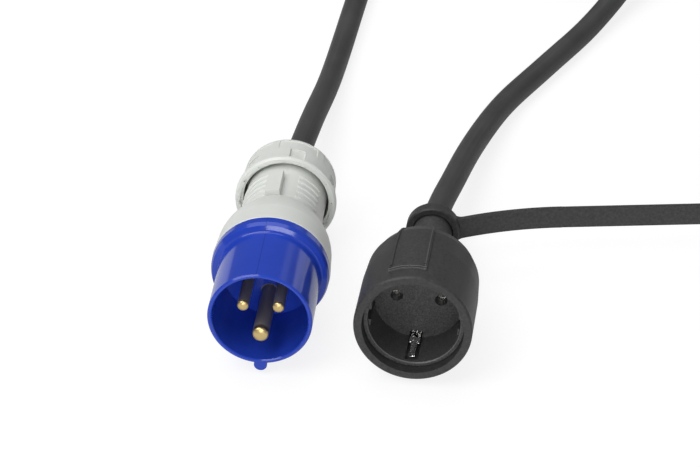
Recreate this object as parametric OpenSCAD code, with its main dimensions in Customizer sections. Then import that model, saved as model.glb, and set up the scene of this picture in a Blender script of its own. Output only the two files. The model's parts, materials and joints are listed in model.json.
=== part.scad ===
// Adapter lead for site and camping power: a three-pin round industrial plug,
// a rubber-sheathed cable and an earthed two-pin (type F) socket with a tethered cap.
// Millimetres. X runs to the right, Y away from the viewer, Z up, and the floor is z = 0.
// Each connector has a local frame: X right, Y down, Z along its axis from the mouth to the rear.

/* [Plug shroud] */
// Outer diameter of the skirt round the pins
skirt_d = 44.4; // [42:0.1:46]
// Wall of the skirt
skirt_wall = 1.9; // [1.5:0.1:2.4]
// Length of the skirt in front of the collar
skirt_len = 34; // [32:0.2:35]
// How far the collar stands proud of the skirt
collar_rise = 3.4; // [2.5:0.1:4]
// Length of the collar
collar_len = 6.4; // [5.8:0.2:8]
// Depth of the recess that the pins stand in
pin_recess = 35.4; // [34:0.2:37]
// Thickness of the floor that carries the pins
pin_floor = 11.6; // [10:0.2:13]
// Length of the spigot that enters the housing
spigot_len = 9.6; // [8:0.2:11]
// Width of the key rib under the skirt
key_w = 5.6; // [5:0.1:6.5]
// How far the key rib stands out from the skirt
key_rise = 3.5; // [3:0.1:4]

/* [Plug pins] */
// Diameter of the circle that the pins stand on
pin_circle_d = 17.2; // [16.5:0.1:18]
// Distance between the line and neutral pins
pin_spacing = 15; // [14:0.1:15.6]
// Diameter of the line and neutral pins
power_pin_d = 5; // [4.5:0.1:5.5]
// Diameter of the earth pin
earth_pin_d = 7; // [6.5:0.1:7.5]
// Set-back of the line and neutral pins from the mouth
power_pin_inset = 2.7; // [1.5:0.1:4]
// Set-back of the earth pin from the mouth
earth_pin_inset = 0.6; // [0.4:0.1:1.4]

/* [Plug housing] */
// Length of the tapered body behind the collar
body_len = 9.6; // [8:0.2:12]
// Length of the shoulder between body and neck
shoulder_len = 21; // [19:0.2:23]
// How far the body's radius shrinks along its length
body_taper = 0.6; // [0.6:0.1:1]
// Outer diameter of the threaded neck
neck_d = 36; // [34:0.5:36.5]
// Length of the neck behind the shoulder
neck_len = 31.5; // [30:0.5:33]
// Wall of the housing
housing_wall = 2.4; // [2:0.1:2.8]
// Width of the latch tongue on the neck
latch_w = 6.5; // [6:0.1:8]
// Thickness of the latch tongue
latch_t = 2.8; // [2.4:0.1:3.2]
// How far the latch tongue reaches past the shoulder
latch_reach = 17; // [14:0.5:17]

/* [Gland] */
// Gap between the shoulder's end and the nut, backed off as it lies
nut_gap = 24.7; // [24.7:0.1:26]
// Length of the gland nut
nut_len = 22.3; // [21.5:0.1:24]
// Outer diameter of the nut's front bead
nut_bead_d = 45.7; // [45:0.1:46.5]
// Width of the nut's front bead
nut_bead_w = 2.6; // [2:0.1:3]
// Outer diameter of the nut's body behind the bead
nut_body_d = 43.8; // [43:0.1:44.4]
// Number of grip notches round the nut
nut_grips = 6; // [4:1:8]
// Bore of the hole where the cable leaves the nut
nut_hole_d = 15; // [14:0.5:16]
// Length of the rubber seal
seal_len = 10; // [8:0.5:11]

/* [Cable] */
// Outer diameter of the cable sheath
cable_d = 11.3; // [10.5:0.1:11.5]
// Diameter of one insulated core
core_d = 3.4; // [3:0.1:3.6]
// Radius of the coil's outer turn, at the middle of the cable
coil_outer_r = 62; // [60:0.5:66]
// Thickness of the hook-and-loop tie
tie_t = 0.8; // [0.6:0.1:1]
// Width of the hook-and-loop tie
tie_w = 20; // [15:1:25]

/* [Socket] */
// Outer diameter of the socket's rubber shell
shell_d = 50; // [49:0.2:52]
// Inner diameter of the shell's mouth
mouth_d = 43; // [42.5:0.1:43.6]
// Depth of the step inside the mouth
mouth_step = 4.9; // [4:0.1:6]
// Length of the shell's straight front
shell_straight = 28; // [24:0.5:30]
// Whole length of the shell
shell_len = 50; // [49:0.2:52]
// Radius of the shell's rear edge
shell_rear_r = 20.5; // [20.2:0.1:21.5]
// Diameter of the recess that takes a plug
recess_d = 39.2; // [38.6:0.1:40]
// Depth of the recess behind the step
recess_depth = 20.6; // [19:0.1:21.5]
// Thickness of the contact floor
socket_floor = 5.5; // [4.5:0.1:6]
// Distance between the two contact holes
hole_spacing = 19; // [18.6:0.1:19.4]
// Diameter of a contact hole
hole_d = 5.3; // [5.3:0.1:5.6]
// Bore of a contact sleeve, which grips a plug's pin
contact_bore_d = 4.9; // [4.8:0.05:4.95]
// Width of the slots for the earth springs
earth_slot_w = 5.5; // [5:0.1:6]
// Width of the raised pad on the shell
pad_w = 16.2; // [14:0.2:18]
// How far the raised pad stands proud
pad_rise = 0.7; // [0.4:0.1:1]
// Length of the rear housing behind the shell
rear_len = 11; // [10:0.5:13]
// Diameter of the cable neck
sleeve_d = 17.4; // [16.8:0.1:18]
// Length of the cable neck
sleeve_len = 32; // [30:0.5:35]

/* [Cap and strap] */
// Diameter of the cap's plate
cap_d = 51; // [49:0.2:52]
// Thickness of the cap's plate
cap_t = 3; // [2.5:0.1:3.5]
// Height of the cap's spigot
cap_spigot = 4.6; // [3.5:0.1:5]
// Length of the strap's straight end
strap_straight = 69; // [60:1:80]
// Width of the strap
strap_w = 9.5; // [8:0.1:11]
// Thickness of the strap
strap_t = 2.4; // [2:0.1:3]
// Width of the ring on the cable neck
ring_w = 6; // [5:0.1:7]
// Wall of the ring on the cable neck
ring_wall = 2.8; // [2.2:0.1:3.2]

/* [Layout] */
// Place of the plug's mouth, to the right
plug_x = -114.2; // [-124:0.1:-104]
// Place of the plug's mouth, away from the viewer
plug_y = -54.5; // [-64:0.1:-44]
// Turn of the plug's rear to the right, in degrees
plug_yaw = 5.3; // [4:0.1:6]
// Place of the socket's mouth, to the right
socket_x = -50.4; // [-58:0.1:-44]
// Place of the socket's mouth, away from the viewer
socket_y = -61; // [-70:0.1:-50]
// Turn of the socket's rear to the right, in degrees
socket_yaw = 7.4; // [6:0.1:9]
// Dip of the socket's rear, in degrees
socket_dip = 5.2; // [4.6:0.1:5.8]
// Roll of the socket about its axis, in degrees
socket_roll = 2.5; // [0:0.1:5]

/* [Hidden] */
$fn = 64;
EPS = 0.01;

// Clearances between pieces
slip = 0.1;
press = 0.05;
running = 0.4;
cable_room = 0.25;

// Plug stations along its axis
skirt_r = skirt_d / 2;
skirt_in_r = skirt_r - skirt_wall;
collar_r = skirt_r + collar_rise;
collar_edge_r = collar_r - 0.7;
collar_fillet = 1;
collar_end = skirt_len + collar_len;
floor_end = pin_recess + pin_floor;
spigot_r = collar_r - housing_wall;
spigot_wall = 2.5;
spigot_end = collar_end + spigot_len;
housing_r = collar_r + 0.2;
housing_edge = 0.3;
body_r = housing_r - body_taper;
body_end = collar_end + body_len;
shoulder_end = body_end + shoulder_len;
neck_r = neck_d / 2;
neck_step = 0.6;
neck_start = shoulder_end + neck_step;
neck_end = shoulder_end + neck_len;
shoulder_drop = body_r - neck_r - neck_step;
shoulder_steps = 8;
lug_w = 6;
lug_t = 2;
lug_rise = 0.8;
lug_start = collar_end + 4.6;
latch_turn = -8;
latch_gap = 0.4;
latch_root = 0.7;
latch_root_len = 4.5;

// Gland stations along the plug's axis
nut_start = shoulder_end + nut_gap;
nut_end = nut_start + nut_len;
nut_bead_r = nut_bead_d / 2;
nut_body_r = nut_body_d / 2;
bead_edge = 0.5;
nut_taper = 1;
nut_round = 3;
nut_rear_wall = 4.8;
nut_lip_depth = 1.5;
nut_bore_r = neck_r + 1.3;
nut_lip_r = nut_bore_r + 1.2;
nut_hole_r = nut_hole_d / 2;
notch_w = 7;
notch_len = 9.5;
notch_depth = 1.7;
notch_lip = 0.2;
band_angle = 50;
band_depth = 0.45;
tooth_w = 2;
tooth_pair_angle = 14;
grip_turn = 13;
gland_bore_r = neck_r - 4;
seal_seat_r = gland_bore_r - 2;
seal_start = neck_end - seal_len - 8.5;
seal_end = seal_start + seal_len;
ring_flange_r = nut_bore_r - 1.9;
ring_flange_t = 2.7;
nut_seat = nut_end - nut_rear_wall;
ring_end = nut_seat - slip;
ring_nose_start = neck_end - 0.3;
ring_nose_r = gland_bore_r - running;
cable_r = cable_d / 2;
seal_bore_r = cable_r + cable_room;
ring_bore_r = cable_r + 1;

// Pin places in the plug's frame
pin_circle_r = pin_circle_d / 2;
power_pin_r = power_pin_d / 2;
earth_pin_r = earth_pin_d / 2;
power_pin_rise = sqrt(pow(pin_circle_r, 2) - pow(pin_spacing / 2, 2));
line_at = [-pin_spacing / 2, -power_pin_rise];
neutral_at = [pin_spacing / 2, -power_pin_rise];
earth_at = [0, pin_circle_r];
pin_base_extra = 0.4;
pin_base_start = pin_recess + 0.2;
pin_root_len = 0.8;
pin_root_cut = 0.3;
barrel_extra = 1.5;
barrel_len = 14;
barrel_end = floor_end + barrel_len;
wire_depth = 9;
core_r = core_d / 2;
knee_extra = 0.12;
strand_r = core_r - 0.6;
wire_hole_r = strand_r + slip;
screw_r = 1.5;
screw_head_r = 2.6;
screw_head_t = 2;
screw_at = floor_end + 8;
sheath_end_plug = seal_start - 4;
core_circle_r = core_r / cos(30) + 0.2;
core_back = core_r;

// The plug rests on the housing's front edge and the nut's bead
rest_gap = 0.02;
bead_rest = nut_start + nut_bead_w - bead_edge;
housing_rest = collar_end + housing_edge;
plug_dip = asin((housing_r - nut_bead_r) / (bead_rest - housing_rest));
plug_z = housing_r * cos(plug_dip) + housing_rest * sin(plug_dip) + rest_gap;

// Socket stations along its axis
shell_r = shell_d / 2;
mouth_r = mouth_d / 2;
shell_taper_end = shell_len - 9;
shell_taper_r = shell_r - 0.7;
shell_turn = shell_len - 3.5;
shell_turn_r = shell_rear_r + 2.1;
recess_r = recess_d / 2;
recess_floor = mouth_step + recess_depth;
floor_back = recess_floor + socket_floor;
insert_r = mouth_r - slip;
insert_wall = 2;
insert_end = floor_back + 7;
bead_h = 0.5;
bead_w = 2;
bead_at = recess_floor + 2;
hole_r = hole_d / 2;
hole_x = hole_spacing / 2;
contact_in_r = contact_bore_d / 2;
contact_wall = 1;
contact_r = contact_in_r + contact_wall;
chamber_r = contact_r + slip;
chamber_wall = 1.4;
contact_start = floor_back + 0.2;
contact_end = insert_end + press;
block_w = 2 * contact_r;
block_len = 5;
head_room = screw_head_r + 0.2;
earth_spring_t = 0.8;
earth_spring_w = earth_slot_w - 1;
earth_spring_r = recess_r + 0.3;
earth_slot_depth = 1.4;
earth_tip_w = 2.4;
earth_bow = 2.8;
earth_crown = recess_floor - 4;
earth_bar_t = 1.2;
earth_bar_w = 8;
earth_bar_reach = earth_spring_r - 3;
earth_bar_start = floor_back + press;
earth_block_end = earth_bar_start + earth_bar_t + block_len;
earth_screw_at = earth_bar_start + earth_bar_t + head_room;
earth_block_y = -9;
key_slot_w = 4.8;
key_slot_depth = 1.2;
guide_w = 10.4;
guide_rise = 1.3;
guide_start = mouth_step + 3;
rear_spigot_r = shell_rear_r - 1.8;
rear_spigot_len = 5.5;
rear_r = shell_rear_r - 0.5;
rear_edge = 1.2;
rear_end = shell_len + rear_len;
rear_cavity_r = 14.2;
rear_wall = 1.8;
rear_cone_r = rear_cavity_r + rear_wall;
rear_cone_end = rear_end - 4;
rear_cavity_end = rear_end - 3.5;
sleeve_r = sleeve_d / 2;
sleeve_end = rear_end + sleeve_len;
sleeve_flare = 3.2;
sleeve_flare_len = 9;
sleeve_bore_r = cable_r + cable_room;
tail_w = 19.4;
tail_t = 3.4;
tail_top = cable_r + cable_room;
tail_start = floor_back + 7.5;
tail_end = rear_cavity_end - 1.2;
tail_leg_w = 4.5;
clamp_len = 5;
clamp_t = 2.4;
clamp_start = tail_end - clamp_len;
clamp_screw_x = 7.5;
clamp_screw_d = 2.6;
sheath_end_socket = clamp_start - 0.9;
pad_turn = -11;
pad_start = 7;
pad_angle = 2 * asin(pad_w / 2 / shell_r);
pad_end_gap = 0.3;
lip_w = 0.9;
lip_floor = 0.2;
border_angle = 2.4;
border_set_in = 3;
border_start = 2.2;
border_rise = 0.4;

// The socket rests on the rear end of its shell's taper
socket_z = shell_taper_r * cos(socket_dip) + shell_taper_end * sin(socket_dip) + rest_gap;

// The cap hangs on a ring round the cable neck, and rests on its own rim
ring_r_in = sleeve_r + 0.5;
ring_r_out = ring_r_in + ring_wall;
ring_mid = sleeve_end - 8;
sleeve_bead_start = ring_mid + ring_w / 2 + running;
sleeve_bead_rise = 1.6;
strap_fillet = 5;
strap_bite = 0.5;
strap_lead = 1.5;
strap_root = ring_r_in + 0.6;
strap_set_back = 1.2;
strap_slant = 26.5;
strap_end_slant = 6;
strap_bend_r = 136;
strap_overlap = 2;
cap_r = cap_d / 2;
cap_spigot_r = mouth_r - 0.2;
cap_spigot_wall = 2.5;
cap_x = strap_root + strap_bend_r * (sin(strap_slant) - sin(strap_end_slant))
    + (strap_straight + cap_r - strap_overlap) * cos(strap_end_slant);
cap_z = strap_set_back + strap_bend_r * (cos(strap_end_slant) - cos(strap_slant))
    + (strap_straight + cap_r - strap_overlap) * sin(strap_end_slant);
ring_height = socket_z - ring_mid * sin(socket_dip);
cap_height = cap_r + 0.1;
cap_swivel = asin((cap_height - ring_height + cap_z * sin(socket_dip)) / (cap_x * cos(socket_dip)));

// Cable route on the plug side, from the sheath's end to the top of the coil
plug_route = [
    [-106.8, 25.1, 23.6],
    [-105, 45, 22.7],
    [-103.3, 62.9, 21.8],
    [-100.4, 83.5, 20.6],
    [-97.1, 103.5, 18.7],
    [-92.7, 131.5, 14.2],
    [-88.2, 158.5, 9.4],
    [-83.2, 190.5, 6],
    [-78, 222.5, 5.8],
    [-73, 253.5, 5.8],
    [-68.4, 280.5, 5.9],
    [-63.5, 305.5, 6.1],
    [-55, 332.5, 6.3],
    [-40.5, 357, 6.5],
    [-20.5, 376, 6.5],
    [3, 388.7, 6.5],
    [23, 394.1, 6.5],
    [42, 395.5, 6.5]
];

// Cable route on the socket side, from the sheath's end to the coil's upper turn
socket_route = [
    [-43.9, -11.2, 23.4],
    [-41.4, 8.1, 21.6],
    [-38.9, 27.9, 19.8],
    [-35.2, 47, 18],
    [-30.2, 64.5, 16.4],
    [-22.4, 92.5, 13],
    [-12, 124, 9.2],
    [1, 154.5, 6.2],
    [14.6, 176.5, 5.8],
    [28.5, 198, 5.8],
    [42, 219, 5.9],
    [55, 240, 8],
    [68, 261, 12.6],
    [81, 282.5, 17.8],
    [92, 303, 17.9],
    [97.8, 319.5, 16.8],
    [98.8, 336.5, 16.4]
];
tube_sides = 10;

// Coil lying flat: two turns side by side and one strand on top of them
coil_at = [42, 333.5, 0];
coil_inner_r = coil_outer_r - cable_d - 0.2;
coil_lift = tie_t + 0.05;
coil_mid_r = (coil_outer_r + coil_inner_r) / 2;
coil_low_z = cable_r + coil_lift;
coil_top_z = coil_low_z + cable_d * 0.87;
tie_turn = 45;

// Helper functions and modules

function unit(v) = v / norm(v);

// Direction of a route at point i, from its two neighbours
function heading(path, i) =
    unit(path[min(i + 1, len(path) - 1)] - path[max(i - 1, 0)]);

// Point k of the ring of radius r round path point i
function ring_point(path, i, k, r) =
    let (ahead = heading(path, i),
         side = unit(cross(ahead, [0, 0, 1])),
         up = cross(side, ahead),
         a = 360 * k / tube_sides)
    path[i] + r * (cos(a) * side + sin(a) * up);

// A closed tube of radius r along the points of a path
module swept_tube(path, r) {
    rings = len(path);
    points = [for (i = [0:rings - 1], k = [0:tube_sides - 1]) ring_point(path, i, k, r)];
    first_cap = [[for (k = [0:tube_sides - 1]) k]];
    last_cap = [[for (k = [tube_sides - 1:-1:0]) (rings - 1) * tube_sides + k]];
    walls = [
        for (i = [0:rings - 2], k = [0:tube_sides - 1])
        let (n = (k + 1) % tube_sides, a = i * tube_sides, b = a + tube_sides)
        [a + n, a + k, b + k, b + n]
    ];
    polyhedron(points = points, faces = concat(first_cap, walls, last_cap), convexity = 6);
}

// A round bar from p to q
module rod(p, q, r) {
    d = q - p;
    translate(p)
        rotate([0, acos(d[2] / norm(d)), atan2(d[1], d[0])])
            cylinder(h = norm(d), r = r);
}

module plug_frame() {
    translate([plug_x, plug_y, plug_z])
        rotate([-90 - plug_dip, 0, -plug_yaw])
            children();
}

module socket_frame() {
    translate([socket_x, socket_y, socket_z])
        rotate([-90 - socket_dip, 0, -socket_yaw])
            rotate([0, 0, socket_roll])
                children();
}

// A child turned so that its +X points out at an angle from 12 o'clock, positive to the right
module at_clock(angle) {
    rotate([0, 0, angle - 90])
        children();
}

// Ring-shaped cutter or body between two radii
module tube(r_out, r_in, start, end) {
    translate([0, 0, start])
        difference() {
            cylinder(h = end - start, r = r_out);
            translate([0, 0, -EPS])
                cylinder(h = end - start + 2 * EPS, r = r_in);
        }
}

// Plug

module plug_shroud() {
    color("royalblue") plug_frame() difference() {
        union() {
            rotate_extrude()
                polygon(concat(
                    [
                        [0, pin_recess], [skirt_in_r, pin_recess],
                        [skirt_in_r, 0.5], [skirt_in_r + 0.4, 0],
                        [skirt_r - 0.6, 0], [skirt_r, 0.6]
                    ],
                    [for (a = [0:30:90])
                        [skirt_r + collar_fillet * (1 - cos(a)), skirt_len - collar_fillet * (1 - sin(a))]],
                    [
                        [collar_edge_r, skirt_len + 0.9], [collar_r, skirt_len + 0.45 * collar_len],
                        [collar_r, collar_end], [spigot_r, collar_end], [spigot_r, spigot_end],
                        [spigot_r - spigot_wall, spigot_end], [spigot_r - spigot_wall, floor_end],
                        [0, floor_end]
                    ]));
            key_rib();
            snap_lugs(lug_rise, lug_w, lug_start, lug_t);
        }
        for (at = [line_at, neutral_at])
            pin_hole(at, power_pin_r);
        pin_hole(earth_at, earth_pin_r);
    }
}

// Half-round rib at 6 o'clock along the skirt
module key_rib() {
    difference() {
        translate([0, skirt_r + key_rise - key_w / 2, 0.2])
            cylinder(h = skirt_len, r = key_w / 2);
        translate([0, 0, -1])
            cylinder(h = skirt_len + 2, r = skirt_r - 0.6);
    }
}

// Lugs on the spigot that snap into pockets of the housing
module snap_lugs(rise, w, start, t) {
    for (angle = [45:90:315])
        rotate([0, 0, angle])
            translate([spigot_r - 1, -w / 2, start])
                cube([1 + rise, w, t]);
}

module pin_hole(at, r) {
    translate([at[0], at[1], pin_recess - 1])
        cylinder(h = pin_floor + 2, r = r + pin_base_extra + press);
}

// A turned pin: domed tip, shaft with a relief at its root, pressed base and terminal barrel
module pin(at, r, inset) {
    dome = 0.5 * r;
    barrel_r = r + barrel_extra;
    translate([at[0], at[1], 0])
        difference() {
            rotate_extrude()
                polygon(concat(
                    [for (a = [0:15:90]) [r * sin(a), inset + dome * (1 - cos(a))]],
                    [
                        [r, pin_recess - pin_root_len], [r - pin_root_cut, pin_recess - pin_root_len],
                        [r - pin_root_cut, pin_base_start], [r + pin_base_extra, pin_base_start],
                        [r + pin_base_extra, floor_end], [barrel_r, floor_end],
                        [barrel_r, barrel_end], [0, barrel_end]
                    ]));
            translate([0, 0, barrel_end - wire_depth])
                cylinder(h = wire_depth + 1, r = wire_hole_r);
            translate([0, 0, screw_at])
                rotate([0, 90, atan2(at[1], at[0])])
                    cylinder(h = barrel_r + 1, r = screw_r + press);
        }
}

module line_pin() {
    color("goldenrod") plug_frame() pin(line_at, power_pin_r, power_pin_inset);
}

module neutral_pin() {
    color("goldenrod") plug_frame() pin(neutral_at, power_pin_r, power_pin_inset);
}

module earth_pin() {
    color("goldenrod") plug_frame() pin(earth_at, earth_pin_r, earth_pin_inset);
}

// A slotted screw whose tip is at the origin and whose head is towards +Z
module small_screw(len) {
    difference() {
        union() {
            cylinder(h = len, r = screw_r);
            translate([0, 0, len])
                cylinder(h = screw_head_t, r = screw_head_r);
        }
        translate([-screw_head_r - 1, -0.4, len + screw_head_t - 0.8])
            cube([2 * screw_head_r + 2, 0.8, 1]);
    }
}

module plug_terminal_screws() {
    tip = strand_r + press;
    color("silver") plug_frame()
        for (pin_data = [[line_at, power_pin_r], [neutral_at, power_pin_r], [earth_at, earth_pin_r]])
            translate([pin_data[0][0], pin_data[0][1], screw_at])
                rotate([0, 90, atan2(pin_data[0][1], pin_data[0][0])])
                    translate([0, 0, tip])
                        small_screw(pin_data[1] + barrel_extra + 0.5 - tip);
}

// One core: from the sheath's end out to a terminal, then bare strands in its hole
module core(start, knee, end, strand_end) {
    rod(start, knee, core_r);
    translate(knee)
        sphere(r = core_r + knee_extra);
    rod(knee, end, core_r);
    rod(end, strand_end, strand_r);
}

// Start of a core at the sheath's end, in line with its terminal
function core_root(at, t) = [core_circle_r * at[0] / norm(at), core_circle_r * at[1] / norm(at), t];

module plug_core(at) {
    knee_t = barrel_end + 4;
    plug_frame()
        core(core_root(at, sheath_end_plug - core_back), [at[0], at[1], knee_t],
             [at[0], at[1], barrel_end + slip], [at[0], at[1], barrel_end - wire_depth + 1]);
}

module plug_line_core() {
    color("saddlebrown") plug_core(line_at);
}

module plug_neutral_core() {
    color("dodgerblue") plug_core(neutral_at);
}

module plug_earth_core() {
    color("yellowgreen") plug_core(earth_at);
}

// Radius of the shoulder at a share u of its length: a quarter wave from body to neck
function shoulder_r(u) = body_r - shoulder_drop * (1 - cos(90 * u));

module plug_housing() {
    cone_start = spigot_end + 12;
    color("gainsboro") plug_frame() difference() {
        union() {
            rotate_extrude()
                polygon(concat(
                    [[0, collar_end], [housing_r - housing_edge, collar_end], [housing_r, housing_rest]],
                    [for (i = [0:shoulder_steps])
                        [shoulder_r(i / shoulder_steps), body_end + shoulder_len * i / shoulder_steps]],
                    [
                        [neck_r, neck_start], [neck_r, neck_end - 1],
                        [neck_r - 1, neck_end], [0, neck_end]
                    ]));
            latch_tongue();
        }
        rotate_extrude()
            polygon([
                [0, collar_end - 1], [spigot_r + slip, collar_end - 1],
                [spigot_r + slip, spigot_end + 0.4], [spigot_r - 1.6, spigot_end + 0.4],
                [spigot_r - 2.2, cone_start], [seal_seat_r, shoulder_end],
                [seal_seat_r, seal_start], [gland_bore_r, seal_start],
                [gland_bore_r, neck_end + 1], [0, neck_end + 1]
            ]);
        snap_lugs(lug_rise + 0.2, lug_w + 0.4, lug_start - 0.2, lug_t + 0.4);
    }
}

// Springy tongue that is rooted at the shoulder, stands free of the neck and holds the nut
module latch_tongue() {
    foot = neck_r + latch_gap;
    start = shoulder_end - latch_root;
    at_clock(latch_turn)
        translate([0, latch_w / 2, 0])
            rotate([90, 0, 0])
                linear_extrude(height = latch_w)
                    polygon([
                        [neck_r - 1, start], [foot + latch_t, start],
                        [foot + latch_t, shoulder_end + latch_reach], [foot, shoulder_end + latch_reach],
                        [foot, start + latch_root_len], [neck_r - 1, start + latch_root_len]
                    ]);
}

// Gland

module gland_nut() {
    notch_start = nut_start + nut_bead_w + notch_lip;
    band_start = notch_start + notch_len - notch_lip;
    side_end_r = nut_body_r - nut_taper;
    color("gainsboro") plug_frame() difference() {
        rotate_extrude()
            polygon(concat(
                [
                    [nut_lip_r, nut_start + nut_lip_depth], [nut_lip_r, nut_start],
                    [nut_bead_r - 0.9, nut_start], [nut_bead_r, nut_start + 0.9],
                    [nut_bead_r, bead_rest], [nut_bead_r - bead_edge, nut_start + nut_bead_w],
                    [nut_body_r, nut_start + nut_bead_w]
                ],
                [for (a = [0:15:90])
                    [side_end_r - nut_round * (1 - cos(a)), nut_end - nut_round * (1 - sin(a))]],
                [
                    [nut_hole_r + 1.2, nut_end], [nut_hole_r, nut_end - 1.2],
                    [nut_hole_r, nut_seat], [nut_bore_r, nut_seat],
                    [nut_bore_r, nut_start + nut_lip_depth]
                ]));
        for (i = [0:nut_grips - 1])
            at_clock(grip_turn + 360 * i / nut_grips) {
                translate([nut_body_r - notch_depth, -notch_w / 2, notch_start])
                    cube([notch_depth + 2, notch_w, notch_len]);
                rotate([0, 0, -band_angle / 2])
                    rotate_extrude(angle = band_angle)
                        polygon([
                            [nut_body_r - 0.45 * nut_taper - band_depth, band_start],
                            [nut_body_r + 2, band_start],
                            [nut_body_r + 2, nut_end - nut_round],
                            [side_end_r - band_depth, nut_end - nut_round]
                        ]);
                for (side = [-1, 1])
                    rotate([0, 0, side * tooth_pair_angle])
                        translate([nut_lip_r - 1, -tooth_w / 2, nut_start - 1])
                            cube([1.6, tooth_w, 1 + nut_lip_depth]);
            }
    }
}

// Ring that the nut pushes against the seal
module thrust_ring() {
    color("whitesmoke") plug_frame()
        rotate_extrude()
            polygon([
                [ring_bore_r, ring_nose_start], [ring_nose_r - 0.6, ring_nose_start],
                [ring_nose_r, ring_nose_start + 0.6], [ring_nose_r, ring_end - ring_flange_t],
                [ring_flange_r, ring_end - ring_flange_t], [ring_flange_r, ring_end],
                [ring_bore_r, ring_end]
            ]);
}

module gland_seal() {
    color("dimgray") plug_frame()
        tube(gland_bore_r - press, seal_bore_r, seal_start, seal_end);
}

// Cable

module cable_plug_run() {
    color("#3c3c3c") swept_tube(plug_route, cable_r);
}

module cable_socket_run() {
    color("#3c3c3c") swept_tube(socket_route, cable_r);
}

// Outline of the coil's section: three strands and the space between them
module coil_section(extra) {
    strands = [[coil_inner_r, coil_low_z], [coil_outer_r, coil_low_z], [coil_mid_r, coil_top_z]];
    for (at = strands)
        translate(at)
            circle(r = cable_r + extra);
    polygon(strands);
}

module cable_coil() {
    color("#3c3c3c")
        translate(coil_at)
            rotate_extrude()
                coil_section(0);
}

// Hook-and-loop tie: a band round the three strands, with its overlapping end on top
module coil_tie() {
    tie_angle = tie_w / coil_mid_r * 180 / PI;
    color("#2b2b2b")
        translate(coil_at)
            rotate([0, 0, tie_turn - tie_angle / 2])
                rotate_extrude(angle = tie_angle)
                    difference() {
                        tie_outline(cable_r + tie_t, coil_lift - tie_t);
                        tie_outline(cable_r + press, coil_lift - press);
                    }
}

// Taut line round the three strands at a distance from their centres, cut flat at its foot
module tie_outline(reach, foot) {
    strands = [[coil_inner_r, coil_low_z], [coil_outer_r, coil_low_z], [coil_mid_r, coil_top_z]];
    slope = atan2(coil_top_z - coil_low_z, coil_mid_r - coil_inner_r);
    out_left = [cos(slope + 90), sin(slope + 90)] * reach;
    out_right = [-out_left[0], out_left[1]];
    intersection() {
        union() {
            for (at = strands)
                translate(at)
                    circle(r = reach);
            polygon([
                strands[0] + [0, -reach], strands[1] + [0, -reach], strands[1] + out_right,
                strands[2] + out_right, strands[2] + out_left, strands[0] + out_left
            ]);
            polygon([strands[0], strands[1], strands[2]]);
        }
        translate([coil_inner_r - 20, foot])
            square([60, 60]);
    }
}

// Socket

// Outer profile of the shell from mouth to rear, moved out by a margin
function shell_side(margin) = [
    [shell_r + margin, shell_straight],
    [shell_taper_r + margin, shell_taper_end],
    [shell_turn_r + margin, shell_turn],
    [shell_rear_r + margin, shell_len]
];

module socket_shell() {
    color("#4a4a4a") socket_frame() {
        difference() {
            rotate_extrude()
                polygon(concat(
                    [[0, 0], [shell_r - 0.7, 0], [shell_r, 0.7]],
                    shell_side(0),
                    [[0, shell_len]]));
            rotate_extrude()
                polygon([
                    [0, -1], [mouth_r, -1],
                    [mouth_r, bead_at - slip], [mouth_r + bead_h, bead_at - slip],
                    [mouth_r + bead_h, bead_at + bead_w + slip], [mouth_r, bead_at + bead_w + slip],
                    [mouth_r, insert_end + 1], [rear_spigot_r + slip, insert_end + 3],
                    [rear_spigot_r + slip, shell_len + 1], [0, shell_len + 1]
                ]);
        }
        raised_pad(pad_turn, pad_angle, pad_start, pad_rise);
        for (side = [-1, 1])
            raised_pad(pad_turn + side * (pad_angle / 2 - border_set_in), border_angle,
                       pad_start + border_start, pad_rise + border_rise);
    }
}

// Strip of the shell's side that stands proud of it, with a double lip at its front
module raised_pad(turn, angle, start, rise) {
    at_clock(turn)
        rotate([0, 0, -angle / 2])
            rotate_extrude(angle = angle)
                polygon(concat(
                    [
                        [shell_r - 2, start], [shell_r + rise, start],
                        [shell_r + rise, start + lip_w], [shell_r + lip_floor, start + lip_w + 0.1],
                        [shell_r + lip_floor, start + 1.8 * lip_w],
                        [shell_r + rise, start + 1.8 * lip_w + 0.1]
                    ],
                    shell_side(rise),
                    [[shell_rear_r - 1, shell_len - pad_end_gap], [shell_turn_r - 2, shell_turn - 1],
                     [shell_r - 2, shell_straight]]));
}

module socket_insert() {
    color("#3e3e3e") socket_frame() difference() {
        union() {
            rotate_extrude()
                polygon([
                    [0, recess_floor], [recess_r, recess_floor],
                    [recess_r, mouth_step + 0.5], [recess_r + 0.5, mouth_step],
                    [insert_r - 0.3, mouth_step], [insert_r, mouth_step + 0.3],
                    [insert_r, bead_at], [insert_r + bead_h, bead_at + 0.5],
                    [insert_r + bead_h, bead_at + bead_w - 0.5], [insert_r, bead_at + bead_w],
                    [insert_r, insert_end], [insert_r - insert_wall, insert_end],
                    [insert_r - insert_wall, floor_back], [0, floor_back]
                ]);
            for (side = [-1, 1])
                translate([side * hole_x, 0, floor_back - 1])
                    cylinder(h = insert_end - floor_back + 1, r = chamber_r + chamber_wall);
            for (side = [-1, 1])
                at_clock(90 * side)
                    translate([recess_r - guide_rise, -guide_w / 2, guide_start])
                        cube([guide_rise + 1, guide_w, recess_floor - guide_start + 1]);
        }
        for (side = [-1, 1]) {
            translate([side * hole_x, 0, recess_floor - 1])
                cylinder(h = socket_floor + 2, r = hole_r);
            translate([side * hole_x, 0, floor_back])
                cylinder(h = insert_end, r = chamber_r);
            at_clock(90 * side)
                translate([recess_r - guide_rise - 1, -key_slot_w / 2, guide_start - 0.5])
                    cube([1 + guide_rise + key_slot_depth, key_slot_w, recess_floor - guide_start - 2]);
            at_clock(90 + 90 * side)
                earth_slot();
        }
    }
}

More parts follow.
